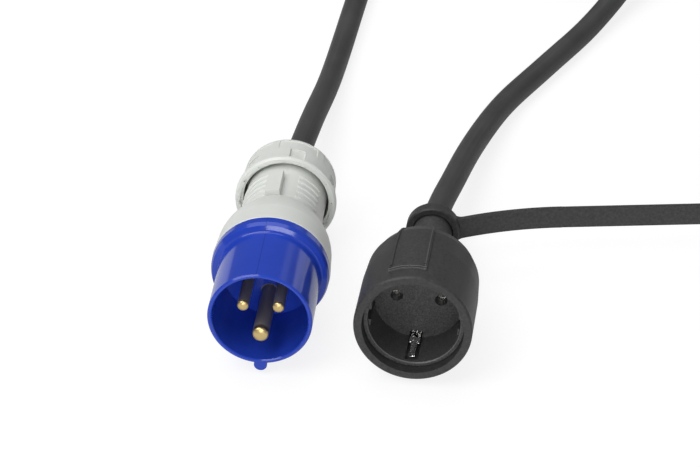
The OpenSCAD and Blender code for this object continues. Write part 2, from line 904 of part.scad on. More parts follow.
// Groove for one earth spring in the recess wall, and its way through the floor
module earth_slot() {
    translate([recess_r - 1, -earth_slot_w / 2, mouth_step + 2])
        cube([1 + earth_slot_depth, earth_slot_w, floor_back - mouth_step]);
    translate([earth_spring_r - earth_bow - 0.5, -earth_slot_w / 2, recess_floor - 2.5])
        cube([earth_bow + 1, earth_slot_w, 2.5 + socket_floor + earth_bar_t + 0.6]);
}

// Bracket behind the contacts that the cable sheath is clamped to, with its feet on the insert's floor
module cord_saddle() {
    color("#555555") socket_frame() {
        for (side = [-1, 1])
            translate([side * (tail_w - tail_leg_w) / 2 - tail_leg_w / 2, tail_top, floor_back + press])
                cube([tail_leg_w, tail_t, tail_end - floor_back - press]);
        translate([-tail_w / 2, tail_top, tail_start])
            cube([tail_w, tail_t, tail_end - tail_start]);
    }
}

// Contact sleeve with a terminal block behind it
module contact(side) {
    translate([side * hole_x, 0, 0])
        difference() {
            union() {
                tube(contact_r, contact_in_r, contact_start, contact_end + 0.5);
                translate([-block_w / 2, -block_w / 2, contact_end])
                    cube([block_w, block_w, block_len]);
            }
            translate([0, 0, contact_end + 1])
                cylinder(h = block_len + 1, r = wire_hole_r);
            translate([0, 0, contact_end + head_room])
                rotate([90, 0, 0])
                    cylinder(h = block_w, r = screw_r + press);
            translate([-0.4, -contact_r - 1, contact_start - 1])
                cube([0.8, 2 * contact_r + 2, 5]);
        }
}

module line_contact() {
    color("darkgoldenrod") socket_frame() contact(-1);
}

module neutral_contact() {
    color("darkgoldenrod") socket_frame() contact(1);
}

// Bar behind the floor that carries an earth spring at 12 and at 6 o'clock, and the terminal
module earth_clip() {
    spring_top = mouth_step + 5;
    bar_start = earth_bar_start;
    color("silver") socket_frame() difference() {
        union() {
            translate([-earth_bar_w / 2, -earth_bar_reach, bar_start])
                cube([earth_bar_w, 2 * earth_bar_reach, earth_bar_t]);
            translate([-earth_spring_w / 2, -earth_spring_r, bar_start])
                cube([earth_spring_w, 2 * earth_spring_r, earth_bar_t]);
            for (side = [-1, 1])
                at_clock(90 + 90 * side)
                    earth_spring(spring_top, bar_start + earth_bar_t);
            translate([-block_w / 2, earth_block_y - block_w / 2, bar_start])
                cube([block_w, block_w, earth_bar_t + block_len]);
        }
        translate([0, earth_block_y, bar_start + earth_bar_t + 0.6])
            cylinder(h = block_len + 1, r = wire_hole_r);
        translate([0, earth_block_y, earth_screw_at])
            rotate([90, 0, 0])
                cylinder(h = block_w, r = screw_r + press);
    }
}

// Spring strip bowed towards the axis, with a narrow tip in front of its crown
module earth_spring(start, end) {
    t = earth_spring_t;
    difference() {
        translate([0, earth_spring_w / 2, 0])
            rotate([90, 0, 0])
                linear_extrude(height = earth_spring_w)
                    polygon([
                        [earth_spring_r, end], [earth_spring_r, recess_floor - 1],
                        [earth_spring_r - earth_bow + t, earth_crown], [earth_spring_r, start],
                        [earth_spring_r - t, start], [earth_spring_r - earth_bow, earth_crown],
                        [earth_spring_r - t, recess_floor - 1], [earth_spring_r - t, end]
                    ]);
        for (side = [-1, 1])
            translate([0, side * (earth_spring_w + earth_tip_w) / 2 - earth_spring_w / 2, start - 1])
                cube([2 * recess_r, earth_spring_w, earth_crown - start - 2]);
    }
}

module socket_terminal_screws() {
    tip = strand_r + press;
    shank = contact_r + 0.5 - tip;
    color("silver") socket_frame() {
        for (side = [-1, 1])
            translate([side * hole_x, -tip, contact_end + head_room])
                rotate([90, 0, 0])
                    small_screw(shank);
        translate([0, earth_block_y - tip, earth_screw_at])
            rotate([90, 0, 0])
                small_screw(shank);
    }
}

module socket_rear() {
    color("#333333") socket_frame() difference() {
        rotate_extrude()
            polygon(concat(
                [
                    [0, shell_len - rear_spigot_len], [rear_spigot_r, shell_len - rear_spigot_len],
                    [rear_spigot_r, shell_len], [rear_r, shell_len]
                ],
                [[rear_r, shell_len + rear_edge], [rear_cone_r, rear_cone_end]],
                [for (a = [0:15:90])
                    [sleeve_r + sleeve_flare * (1 - sin(a)), rear_end + sleeve_flare_len * (1 - cos(a))]],
                [
                    [sleeve_r, sleeve_bead_start], [sleeve_r + sleeve_bead_rise, sleeve_bead_start + 0.6],
                    [sleeve_r + sleeve_bead_rise, sleeve_end - 2], [sleeve_r + 0.6, sleeve_end - 0.5],
                    [sleeve_r - 0.8, sleeve_end], [0, sleeve_end]
                ]));
        translate([0, 0, shell_len - rear_spigot_len - 1])
            cylinder(h = rear_cavity_end - shell_len + rear_spigot_len + 1, r = rear_cavity_r);
        translate([0, 0, rear_cavity_end - 1])
            cylinder(h = sleeve_end, r = sleeve_bore_r);
    }
}

// Bar that presses the sheath onto the saddle
module cord_clamp() {
    color("#555555") socket_frame() difference() {
        translate([-tail_w / 2, -tail_top - clamp_t, clamp_start])
            cube([tail_w, clamp_t, clamp_len]);
        for (side = [-1, 1])
            translate([side * clamp_screw_x, 0, clamp_start + clamp_len / 2])
                rotate([90, 0, 0])
                    cylinder(h = 2 * cable_d, r = clamp_screw_d / 2 + press);
    }
}

module clamp_screws() {
    shank = 2 * tail_top + clamp_t;
    color("silver") socket_frame()
        for (side = [-1, 1])
            translate([side * clamp_screw_x, tail_top - press, clamp_start + clamp_len / 2])
                rotate([90, 0, 0]) {
                    cylinder(h = shank, r = clamp_screw_d / 2);
                    translate([0, 0, shank])
                        cylinder(h = 1.6, r = 2.2);
                }
}

module socket_core(at, end_t) {
    knee_t = end_t + 1.6;
    socket_frame()
        core(core_root(at, sheath_end_socket - core_back), [at[0], at[1], knee_t],
             [at[0], at[1], end_t + slip], [at[0], at[1], end_t - block_len + 2]);
}

module socket_line_core() {
    color("saddlebrown") socket_core([-hole_x, 0], contact_end + block_len);
}

module socket_neutral_core() {
    color("dodgerblue") socket_core([hole_x, 0], contact_end + block_len);
}

module socket_earth_core() {
    color("yellowgreen")
        socket_core([0, earth_block_y], earth_block_end);
}

// Cap

// One rubber moulding: ring round the neck, bent strap and cap, in a frame turned to its rest
module socket_cap() {
    color("#3a3a3a")
        translate([socket_x, socket_y, socket_z])
            rotate([-90 - socket_dip, 0, -socket_yaw])
                rotate([0, 0, -cap_swivel])
                    translate([0, 0, ring_mid]) {
                        cap_ring();
                        rotate([90, 0, 0]) {
                            strap_bend();
                            translate([cap_x, cap_z, 0])
                                rotate([0, 0, strap_end_slant])
                                    strap_and_cap();
                        }
                    }
}

module cap_ring() {
    edge = 0.6;
    rotate_extrude()
        polygon([
            [ring_r_in, -ring_w / 2], [ring_r_out - edge, -ring_w / 2], [ring_r_out, -ring_w / 2 + edge],
            [ring_r_out, ring_w / 2 - edge], [ring_r_out - edge, ring_w / 2], [ring_r_in, ring_w / 2]
        ]);
}

// Curved part of the strap, in plan: X to the right and Y to the rear
module strap_bend() {
    band_h = strap_w + 2 * strap_fillet;
    difference() {
        intersection() {
            translate([strap_root + strap_bend_r * sin(strap_slant),
                       strap_set_back - strap_bend_r * cos(strap_slant), 0])
                mirror([1, 0, 0])
                    rotate([0, 0, 90 - strap_slant - strap_lead])
                        rotate_extrude(angle = strap_slant + strap_lead - strap_end_slant)
                            translate([strap_bend_r - strap_t / 2, -band_h / 2])
                                square([strap_t, band_h]);
            translate([0, 2 * strap_bend_r, 0])
                rotate([90, 0, 0])
                    linear_extrude(height = 4 * strap_bend_r)
                        strap_outline();
        }
        rotate([90, 0, 0])
            cylinder(h = 6 * ring_w, r = ring_r_in, center = true);
    }
}

// Side view of the strap: even width, with a fillet to the ring on each side
module strap_outline() {
    fillet_y = strap_w / 2 + strap_fillet;
    fillet_x = sqrt(pow(ring_r_out - strap_bite + strap_fillet, 2) - pow(fillet_y, 2));
    first = 180 + atan2(fillet_y, fillet_x);
    fillet = [for (i = [0:6]) let (a = first + (270 - first) * i / 6)
        [fillet_x + strap_fillet * cos(a), fillet_y + strap_fillet * sin(a)]];
    half = concat([[0, fillet[0][1]]], fillet, [[strap_bend_r, strap_w / 2]]);
    polygon(concat(half, [for (i = [len(half) - 1:-1:0]) [half[i][0], -half[i][1]]]));
}

// Straight end of the strap and the cap, with the cap's centre at the origin
module strap_and_cap() {
    flush = 2 * press;
    translate([-strap_straight - cap_r, -(strap_t - flush) / 2, -(strap_w - flush) / 2])
        cube([strap_straight + strap_overlap, strap_t - flush, strap_w - flush]);
    translate([0, cap_t / 2, 0])
        rotate([90, 0, 0]) {
            cylinder(h = cap_t, r = cap_r);
            translate([0, 0, cap_t - EPS])
                difference() {
                    cylinder(h = cap_spigot, r = cap_spigot_r);
                    cylinder(h = cap_spigot + 1, r = cap_spigot_r - cap_spigot_wall);
                }
        }
}

plug_shroud();
plug_housing();
gland_nut();
thrust_ring();
gland_seal();
line_pin();
neutral_pin();
earth_pin();
plug_terminal_screws();
plug_line_core();
plug_neutral_core();
plug_earth_core();
cable_plug_run();
cable_coil();
cable_socket_run();
coil_tie();
socket_shell();
socket_insert();
socket_rear();
line_contact();
neutral_contact();
earth_clip();
socket_terminal_screws();
cord_saddle();
cord_clamp();
clamp_screws();
socket_line_core();
socket_neutral_core();
socket_earth_core();
socket_cap();
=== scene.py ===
"""Looks of an adapter lead: three-pin round industrial plug, rubber cable and earthed two-pin socket.

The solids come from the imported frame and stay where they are. This file gives each of them its finish, lays
the cable at its real length, and adds the thread and the tie. Lengths are in metres, or in millimetres where
a name ends in _MM. Angles are in radians, or in degrees where a name ends in _DEG.
"""
import json
import math

import bmesh
import bpy
import numpy as np
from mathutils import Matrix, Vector


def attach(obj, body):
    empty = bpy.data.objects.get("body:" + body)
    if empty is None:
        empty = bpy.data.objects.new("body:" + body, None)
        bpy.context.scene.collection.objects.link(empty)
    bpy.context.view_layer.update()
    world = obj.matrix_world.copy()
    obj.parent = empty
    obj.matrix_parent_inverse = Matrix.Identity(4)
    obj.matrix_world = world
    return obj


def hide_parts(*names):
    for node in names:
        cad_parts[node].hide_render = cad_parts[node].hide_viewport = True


bl_info = {
    "name": "Adapter lead looks",
    "version": (1, 0, 0),
    "blender": (4, 5, 0),
    "location": "View3D > Sidebar > Adapter lead",
    "description": "Finishes, cable, thread and stage of an adapter lead around its packed solids",
    "category": "Object",
}

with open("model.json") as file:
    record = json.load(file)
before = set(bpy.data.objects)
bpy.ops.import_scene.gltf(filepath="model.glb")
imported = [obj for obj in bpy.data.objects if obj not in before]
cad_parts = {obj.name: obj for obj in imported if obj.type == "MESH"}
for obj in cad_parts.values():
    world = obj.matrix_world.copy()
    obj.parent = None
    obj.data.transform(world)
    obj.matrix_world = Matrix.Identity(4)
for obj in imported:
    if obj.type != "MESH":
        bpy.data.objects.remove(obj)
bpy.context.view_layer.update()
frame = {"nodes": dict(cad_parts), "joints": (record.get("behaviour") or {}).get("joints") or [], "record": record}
MM = 0.001
JOINTS = {joint["name"]: joint for joint in frame["joints"]}
MOUNTS = {mount["name"]: mount for mount in frame["record"]["mounts"]}


# Axes of the two connectors, taken from the frame's joints and mounts

class Axes:
    """Local frame of a connector: right, down and rear from a point on its axis at its mouth."""

    def __init__(self, mouth, right, down, rear):
        self.mouth = mouth
        self.right = right
        self.down = down
        self.rear = rear

    def place(self, x, y, t):
        """Row points of local x to the right, y down and t to the rear, as whole arrays."""
        x, y, t = np.broadcast_arrays(x, y, t)
        return (self.mouth + x[..., None] * self.right + y[..., None] * self.down
                + t[..., None] * self.rear)

    def polar(self, r, clock, t):
        """Row points at radius r and clock angle in radians, from 12 o'clock and positive to the right."""
        return self.place(r * np.sin(clock), -r * np.cos(clock), t)


def unit(v):
    """Vectors of length one in the directions of v."""
    return v / np.linalg.norm(v, axis=-1, keepdims=True)


GLAND_BEHIND_MOUTH = 107 * MM
RING_BEHIND_MOUTH = 85 * MM


def plug_axes():
    """The plug's axis is the gland's, and the earth pin lies straight below it."""
    pivot = np.array(JOINTS["gland_turn"]["pos_m"])
    rear = -unit(np.array(JOINTS["gland_turn"]["axis"]))
    to_earth = np.array(MOUNTS["earth_pin_shaft"]["pos_m"]) - pivot
    down = unit(to_earth - rear * (to_earth @ rear))
    return Axes(pivot - rear * GLAND_BEHIND_MOUTH, np.cross(down, rear), down, rear)


def socket_axes():
    """The socket's axis is the cap ring's, and its two holes lie to the left and right of it."""
    pivot = np.array(JOINTS["cap_swivel"]["pos_m"])
    rear = -unit(np.array(JOINTS["cap_swivel"]["axis"]))
    left = np.array(MOUNTS["left_contact_hole"]["pos_m"])
    right = unit(np.array(MOUNTS["right_contact_hole"]["pos_m"]) - left)
    return Axes(pivot - rear * RING_BEHIND_MOUTH, right, np.cross(rear, right), rear)


PLUG = plug_axes()
SOCKET = socket_axes()


# Settings that a user would change

def length_setting(name, description, default):
    """A length property in metres."""
    return bpy.props.FloatProperty(
        name=name, description=description, default=default, unit="LENGTH", precision=5)


def colour_setting(name, description, default):
    """A linear colour property."""
    return bpy.props.FloatVectorProperty(
        name=name, description=description, default=default, size=3, min=0, max=1, subtype="COLOR")


class StageSettings(bpy.types.PropertyGroup):
    """Camera, floor and lamps."""

    camera_at: bpy.props.FloatVectorProperty(
        name="Camera place", description="Where the camera stands", size=3, subtype="TRANSLATION",
        default=(-0.0764, -0.9263, 0.6778))
    camera_dip: bpy.props.FloatProperty(
        name="Camera dip", description="Angle of the view below the horizon", subtype="ANGLE",
        default=math.radians(34.8))
    camera_lens: bpy.props.FloatProperty(
        name="Lens", description="Focal length in millimetres on a 36 mm wide sensor", default=133.7)
    floor_colour: colour_setting("Floor", "Pale floor under the lead", (0.82, 0.82, 0.82))
    world_light: bpy.props.FloatProperty(
        name="Room light", description="Strength of the even light from all sides", default=0.16)


class CableSettings(bpy.types.PropertyGroup):
    """The rubber cable and its coil."""

    diameter: length_setting("Diameter", "Outside of the sheath", 11.3 * MM)
    length: length_setting("Length", "From sheath end to sheath end", 1.5)
    outer_turn: length_setting("Outer turn", "Radius of the coil's outer turn", 62 * MM)
    inner_turn: length_setting("Inner turn", "Radius of the coil's inner turn", 50.5 * MM)
    low_height: length_setting("Low strands", "Height of the strands on the floor", 6.5 * MM)
    top_height: length_setting("Top strand", "Height of the strand on top of them", 16.3 * MM)
    colour: colour_setting("Sheath", "Colour of the sheath", (0.052, 0.052, 0.053))
    tie_thickness: length_setting("Tie", "Thickness of the tie", 0.8 * MM)
    tie_width: length_setting("Tie width", "Width of the tie", 20 * MM)


class PlugSettings(bpy.types.PropertyGroup):
    """The industrial plug."""

    blue: colour_setting("Blue", "Skirt and collar", (0.020, 0.062, 0.51))
    grey: colour_setting("Grey", "Housing and nut", (0.80, 0.82, 0.785))
    brass: colour_setting("Brass", "Pins", (0.80, 0.61, 0.28))
    thread_pitch: length_setting("Thread pitch", "Distance between the neck's ribs", 4.2 * MM)
    thread_height: length_setting("Thread height", "How far the ribs stand out", 0.55 * MM)


class SocketSettings(bpy.types.PropertyGroup):
    """The rubber socket and its cap."""

    rubber: colour_setting("Rubber", "Shell and cap", (0.038, 0.038, 0.0385))
    rear: colour_setting("Rear", "Rear housing and its neck", (0.060, 0.060, 0.0605))
    insert: colour_setting("Insert", "Contact carrier", (0.063, 0.063, 0.0635))


def settings(group):
    """The scene's settings of that name."""
    return getattr(bpy.context.scene, group)


# Meshes from grids of points

def grid_object(name, grid, closed=False, capped=False, sharp=None, stretch=None):
    """A mesh whose point (i, k) is grid[i, k].

    Closed joins the last column to the first, capped fills both ends, and sharp is the angle from which an
    edge shows. The UV map runs round the columns in u, from 0 to 1, and along the rows in v, by stretch or
    row number.
    """
    rows, columns = grid.shape[:2]
    spans = columns if closed else columns - 1
    i, k = np.meshgrid(np.arange(rows - 1), np.arange(spans), indexing="ij")
    after = (k + 1) % columns
    row, next_row = i * columns, (i + 1) * columns
    corners = np.stack([row + k, row + after, next_row + after, next_row + k], -1)
    faces = corners.reshape(-1, 4).tolist()
    along = np.arange(rows, dtype=float) if stretch is None else np.asarray(stretch)
    u = np.stack([k, k + 1, k + 1, k], -1) / spans
    v = along[np.stack([i, i, i + 1, i + 1], -1)]
    uv = np.stack([u, v], -1).reshape(-1, 2)
    if capped:
        ends = [np.arange(columns)[::-1], (rows - 1) * columns + np.arange(columns)]
        faces += [end.tolist() for end in ends]
        uv = np.vstack([uv, np.zeros((2 * columns, 2))])
    mesh = bpy.data.meshes.new(name)
    mesh.from_pydata(grid.reshape(-1, 3), [], faces)
    layer = mesh.uv_layers.new(name="UVMap")
    layer.data.foreach_set("uv", uv.astype(np.float32).ravel())
    work = bmesh.new()
    work.from_mesh(mesh)
    bmesh.ops.recalc_face_normals(work, faces=work.faces)
    work.to_mesh(mesh)
    work.free()
    mesh.polygons.foreach_set("use_smooth", np.ones(len(mesh.polygons), bool))
    if sharp is not None:
        mesh.set_sharp_from_angle(angle=sharp)
    piece = bpy.data.objects.new(name, mesh)
    bpy.context.scene.collection.objects.link(piece)
    return piece


def joined(name, pieces):
    """One object with the meshes of all the pieces."""
    work = bmesh.new()
    for piece in pieces:
        work.from_mesh(piece.data)
        mesh = piece.data
        bpy.data.objects.remove(piece)
        bpy.data.meshes.remove(mesh)
    mesh = bpy.data.meshes.new(name)
    work.to_mesh(mesh)
    work.free()
    piece = bpy.data.objects.new(name, mesh)
    bpy.context.scene.collection.objects.link(piece)
    return piece


def spline(points, per_span):
    """Natural cubic spline through the points, by chord length, with per_span samples on each span.

    The second derivatives m solve
    h[i-1] m[i-1] + 2 (h[i-1] + h[i]) m[i] + h[i] m[i+1] = 6 (slope[i] - slope[i-1]).
    """
    p = np.asarray(points, float)
    h = np.linalg.norm(np.diff(p, axis=0), axis=1)
    slope = np.diff(p, axis=0) / h[:, None]
    n = len(p)
    system = np.eye(n)
    inner = np.arange(1, n - 1)
    system[inner, inner - 1] = h[:-1]
    system[inner, inner] = 2 * (h[:-1] + h[1:])
    system[inner, inner + 1] = h[1:]
    right = np.zeros_like(p)
    right[1:-1] = 6 * np.diff(slope, axis=0)
    m = np.linalg.solve(system, right)
    s = (np.arange(per_span) / per_span)[None, :, None]
    a, b = p[:-1, None], p[1:, None]
    ma, mb = m[:-1, None], m[1:, None]
    hh = h[:, None, None]
    curve = (a * (1 - s) + b * s
             + hh ** 2 / 6 * (((1 - s) ** 3 - (1 - s)) * ma + (s ** 3 - s) * mb))
    return np.vstack([curve.reshape(-1, 3), p[-1:]])


def distance_along(path):
    """Length of the path up to each of its points."""
    return np.concatenate([[0], np.cumsum(np.linalg.norm(np.diff(path, axis=0), axis=1))])


def tube(path, radius, sides):
    """Rings of points round a path: p + r (cos a side + sin a up), side level and up square to both."""
    ahead = unit(np.gradient(path, axis=0))
    side = unit(np.cross(ahead, [0, 0, 1]))
    up = np.cross(side, ahead)
    a = np.linspace(0, 2 * math.pi, sides, endpoint=False)[None, :, None]
    return path[:, None] + radius * (np.cos(a) * side[:, None] + np.sin(a) * up[:, None])


# Shader building

def node_group(name, inputs, outputs):
    """A new shader node group with named sockets, given as (name, socket type, default)."""
    group = bpy.data.node_groups.new(name, "ShaderNodeTree")
    for label, kind, default in inputs:
        socket = group.interface.new_socket(name=label, in_out="INPUT", socket_type=kind)
        if default is not None:
            socket.default_value = default
    for label, kind in outputs:
        group.interface.new_socket(name=label, in_out="OUTPUT", socket_type=kind)
    return group, group.nodes.new("NodeGroupInput"), group.nodes.new("NodeGroupOutput")


def add(tree, kind, values=None, **options):
    """A new node with its options set and its inputs either linked from sockets or set to values."""
    node = tree.nodes.new(kind)
    for option, value in options.items():
        setattr(node, option, value)
    for key, value in (values or {}).items():
        if isinstance(value, bpy.types.NodeSocket):
            tree.links.new(value, node.inputs[key])
        else:
            node.inputs[key].default_value = value
    return node


def math_node(tree, operation, *values):
    """Output of a Math node."""
    return add(tree, "ShaderNodeMath", dict(enumerate(values)), operation=operation).outputs[0]


# Sockets of a Mix node that carry colours: three inputs and the output
MIX_FACTOR, MIX_FIRST, MIX_SECOND, MIX_COLOUR = 0, 6, 7, 2


def blend_colour(tree, mask, first, second):
    """Colour between first, where the mask is 0, and second, where it is 1."""
    values = {MIX_FACTOR: mask, MIX_FIRST: first, MIX_SECOND: second}
    return add(tree, "ShaderNodeMix", values, data_type="RGBA").outputs[MIX_COLOUR]


def map_range(tree, value, low, high, to_low=0.0, to_high=1.0, smooth=False):
    """The value carried from one range to another, clamped."""
    kind = "SMOOTHSTEP" if smooth else "LINEAR"
    values = dict(enumerate((value, low, high, to_low, to_high)))
    return add(tree, "ShaderNodeMapRange", values, interpolation_type=kind, clamp=True).outputs[0]


def noise(tree, where, scale, detail, roughness=0.5):
    """Height of a noise texture."""
    values = {"Vector": where, "Scale": scale, "Detail": detail, "Roughness": roughness}
    return add(tree, "ShaderNodeTexNoise", values).outputs[0]


def along_axis(tree, where, axis):
    """Distance of a point along an axis."""
    return add(tree, "ShaderNodeVectorMath", {0: where, 1: axis}, operation="DOT_PRODUCT").outputs["Value"]


VECTOR, FLOAT, COLOUR = "NodeSocketVector", "NodeSocketFloat", "NodeSocketColor"
FINE_RATIO = 2.7
FINE_SHARE = 0.5
SPECK_EDGE = 0.08
CLOUD_LOW, CLOUD_HIGH = 0.32, 0.68


def grain_group():
    """Moulded grain: two sizes of noise as a height, and sparse pale specks as a mask."""
    group, enter, leave = node_group(
        "Moulded grain",
        [("Vector", VECTOR, None), ("Scale", FLOAT, 1500.0), ("Specks", FLOAT, 0.68)],
        [("Height", FLOAT), ("Speck", FLOAT)])
    where, scale, specks = (enter.outputs[key] for key in ("Vector", "Scale", "Specks"))
    coarse = noise(group, where, scale, detail=3.0, roughness=0.6)
    fine = noise(group, where, math_node(group, "MULTIPLY", scale, FINE_RATIO), detail=2.0)
    height = math_node(group, "ADD", coarse, math_node(group, "MULTIPLY", fine, FINE_SHARE))
    group.links.new(height, leave.inputs["Height"])
    speck = map_range(group, coarse, specks, math_node(group, "ADD", specks, SPECK_EDGE))
    group.links.new(speck, leave.inputs["Speck"])
    return group


def drift_group():
    """Tone drift: cloudy change between a darker and a lighter tone, and the cloud itself as a mask."""
    group, enter, leave = node_group(
        "Tone drift",
        [("Vector", VECTOR, None), ("Scale", FLOAT, 30.0), ("Dark", COLOUR, (0, 0, 0, 1)),
         ("Light", COLOUR, (1, 1, 1, 1))],
        [("Color", COLOUR), ("Cloud", FLOAT)])
    height = noise(group, enter.outputs["Vector"], enter.outputs["Scale"], detail=4.0, roughness=0.55)
    cloud = map_range(group, height, CLOUD_LOW, CLOUD_HIGH)
    colour = blend_colour(group, cloud, enter.outputs["Dark"], enter.outputs["Light"])
    group.links.new(colour, leave.inputs["Color"])
    group.links.new(cloud, leave.inputs["Cloud"])
    return group


def axis_group():
    """Axis step: a mask that goes from 0 to 1 between two distances along an axis."""
    group, enter, leave = node_group(
        "Axis step",
        [("Vector", VECTOR, None), ("Axis", VECTOR, (0, 1, 0)), ("From", FLOAT, 0.0), ("To", FLOAT, 1.0)],
        [("Mask", FLOAT)])
    along = along_axis(group, enter.outputs["Vector"], enter.outputs["Axis"])
    mask = map_range(group, along, enter.outputs["From"], enter.outputs["To"], smooth=True)
    group.links.new(mask, leave.inputs["Mask"])
    return group


GROUP_MAKERS = {"Moulded grain": grain_group, "Tone drift": drift_group, "Axis step": axis_group}
GROUPS = {}


def effect(tree, name, values):
    """A shared node group placed in a material, with its own values."""
    if name not in GROUPS:
        GROUPS[name] = GROUP_MAKERS[name]()
    return add(tree, "ShaderNodeGroup", values, node_tree=GROUPS[name])


class Finish:
    """A material under construction: its tree, Principled shader, Object coordinates and colour so far."""

    def __init__(self, name, **sockets):
        self.material = bpy.data.materials.new(name)
        self.material.use_nodes = True
        self.tree = self.material.node_tree
        self.shader = self.tree.nodes["Principled BSDF"]
        for socket, value in sockets.items():
            self.shader.inputs[socket.replace("_", " ")].default_value = value
        self.where = add(self.tree, "ShaderNodeTexCoord").outputs["Object"]
        self.colour = None

    def feed(self, socket, value):
        """Links a varying value to one of the shader's sockets."""
        self.tree.links.new(value, self.shader.inputs[socket])

    def paint(self, colour):
        """Links a varying colour to the shader and keeps it for later tints."""
        self.colour = colour
        self.feed("Base Color", colour)

    def bump(self, height, distance, strength=1.0):
        """Links a height to the shader's normal."""
        values = {"Height": height, "Distance": distance, "Strength": strength}
        self.feed("Normal", add(self.tree, "ShaderNodeBump", values).outputs[0])

    def step(self, axis, start, soft):
        """Mask that goes from 0 to 1 at a distance along an axis, over a soft edge."""
        values = {"Vector": self.where, "Axis": tuple(axis), "From": start, "To": start + soft}
        return effect(self.tree, "Axis step", values).outputs[0]

    def behind(self, axes, mark, soft):
        """Mask of all that lies further behind a connector's mouth than a mark."""
        return self.step(axes.rear, float(axes.mouth @ axes.rear) + mark, soft)

    def strip(self, axes, across, half_width, soft):
        """Mask of a strip along a connector's top, centred at a distance to the right of its middle."""
        tree = self.tree
        centre = float(axes.mouth @ axes.right) + across
        along = along_axis(tree, self.where, tuple(axes.right))
        off = math_node(tree, "ABSOLUTE", math_node(tree, "SUBTRACT", along, centre))
        line = map_range(tree, off, half_width, half_width + soft, 1.0, 0.0, smooth=True)
        above = self.step(-axes.down, -float(axes.mouth @ axes.down), MM)
        return math_node(tree, "MULTIPLY", line, above)

    def band(self, axes, start, end, soft=0.1 * MM):
        """Mask of a slice across a connector, between two distances behind its mouth."""
        front = self.behind(axes, start, soft)
        return math_node(self.tree, "SUBTRACT", front, self.behind(axes, end, soft))

    def tint(self, mask, share, colour):
        """Blends the finish's colour by a share towards another one where the mask is 1."""
        amount = math_node(self.tree, "MULTIPLY", mask, share)
        self.paint(blend_colour(self.tree, amount, self.colour, colour))


def rgba(colour, share=1.0):
    """A colour with alpha, scaled by a share."""
    return tuple(share * c for c in colour[:3]) + (1.0,)


SPECK_COLOUR = (0.5, 0.5, 0.5, 1.0)
ROUGHNESS_DRIFT = 0.04


def moulded_finish(name, colour, spread, roughness, grain, depth, pale=0.0, drift=30.0, **sockets):
    """A moulded plastic or rubber: cloudy tone, grain as bump, pale specks and slightly uneven roughness."""
    finish = Finish(name, **sockets)
    tree = finish.tree
    tone = effect(tree, "Tone drift", {
        "Vector": finish.where, "Scale": drift,
        "Dark": rgba(colour, 1 - spread), "Light": rgba(colour, 1 + spread)})
    texture = effect(tree, "Moulded grain", {"Vector": finish.where, "Scale": grain})
    faint = math_node(tree, "MULTIPLY", texture.outputs["Speck"], pale)
    finish.paint(blend_colour(tree, faint, tone.outputs["Color"], SPECK_COLOUR))
    low, high = roughness - ROUGHNESS_DRIFT, roughness + ROUGHNESS_DRIFT
    finish.feed("Roughness", map_range(tree, tone.outputs["Cloud"], 0, 1, low, high))
    finish.bump(texture.outputs["Height"], depth)
    return finish


def wear(names, material):
    """Gives CAD nodes their material."""
    for name in names:
        data = frame["nodes"][name].data
        data.materials.clear()
        data.materials.append(material)


# Cable

PLUG_ROUTE_MM = [
    (-106.8, 25.1, 23.6), (-105, 45, 22.7), (-103.3, 62.9, 21.8), (-100.4, 83.5, 20.6), (-97.1, 103.5, 18.7),
    (-92.7, 131.5, 14.2), (-88.2, 158.5, 9.4), (-83.2, 190.5, 6), (-78, 222.5, 5.8), (-73, 253.5, 5.8),
    (-68.4, 280.5, 5.9), (-63.5, 305.5, 6.1), (-55, 332.5, 6.3), (-40.5, 357, 6.5), (-20.5, 376, 6.5),
    (3, 388.7, 6.5), (23, 394.1, 6.5), (42, 395.5, 6.5),
]
SOCKET_ROUTE_MM = [
    (-43.9, -11.2, 23.4), (-41.4, 8.1, 21.6), (-38.9, 27.9, 19.8), (-35.2, 47, 18), (-30.2, 64.5, 16.4),
    (-22.4, 92.5, 13), (-12, 124, 9.2), (1, 154.5, 6.2), (14.6, 176.5, 5.8), (28.5, 198, 5.8),
    (42, 219, 5.9), (55, 240, 8), (68, 261, 12.6), (81, 282.5, 17.8), (92, 303, 17.9),
    (97.8, 319.5, 16.8), (98.8, 336.5, 16.4),
]
POINTS_PER_SPAN = 8
CABLE_SIDES = 28
CORD_SHARP = 1.0
CABLE_EXIT_BEHIND_MOUTH = 102.5 * MM
COIL_CENTRE = np.array((42, 333.5)) * MM
COIL_STEP_DEG = 15.0
COIL_POINTS = 53
COIL_TOP_DEG = 90.0
INWARD_DEG, CLIMB_DEG, HUMP_DEG = 270, 540, 630
CHANGE_DEG = 90
HUMP_HEIGHT = 1.6 * MM


def ease(s):
    """Smooth step from 0 to 1."""
    s = np.clip(s, 0, 1)
    return s * s * (3 - 2 * s)


def coil_points(cable):
    """The coil, clockwise from its top: an outer turn, an inner turn beside it and a part turn above both.

    Radius and height follow the turned angle a in degrees, and each change takes CHANGE_DEG. From INWARD_DEG
    the radius goes from outer to inner. From CLIMB_DEG the strand climbs round the outer one, at a constant
    distance from it. From HUMP_DEG it clears the strand that crosses below it.
    """
    a = COIL_STEP_DEG * np.arange(1, COIL_POINTS + 1)
    beside = cable.outer_turn - cable.inner_turn
    rise = cable.top_height - cable.low_height
    lean = math.asin(rise / beside) * ease((a - CLIMB_DEG) / CHANGE_DEG)
    inward = cable.outer_turn - beside * ease((a - INWARD_DEG) / CHANGE_DEG)
    radius = np.where(a > CLIMB_DEG, cable.outer_turn - beside * np.cos(lean), inward)
    hump = np.sin(math.pi * np.clip((a - HUMP_DEG) / CHANGE_DEG, 0, 1)) ** 2
    height = cable.low_height + beside * np.sin(lean) + HUMP_HEIGHT * hump
    turned = np.radians(COIL_TOP_DEG - a)
    return np.stack([
        COIL_CENTRE[0] + radius * np.cos(turned),
        COIL_CENTRE[1] + radius * np.sin(turned),
        height,
    ], -1)


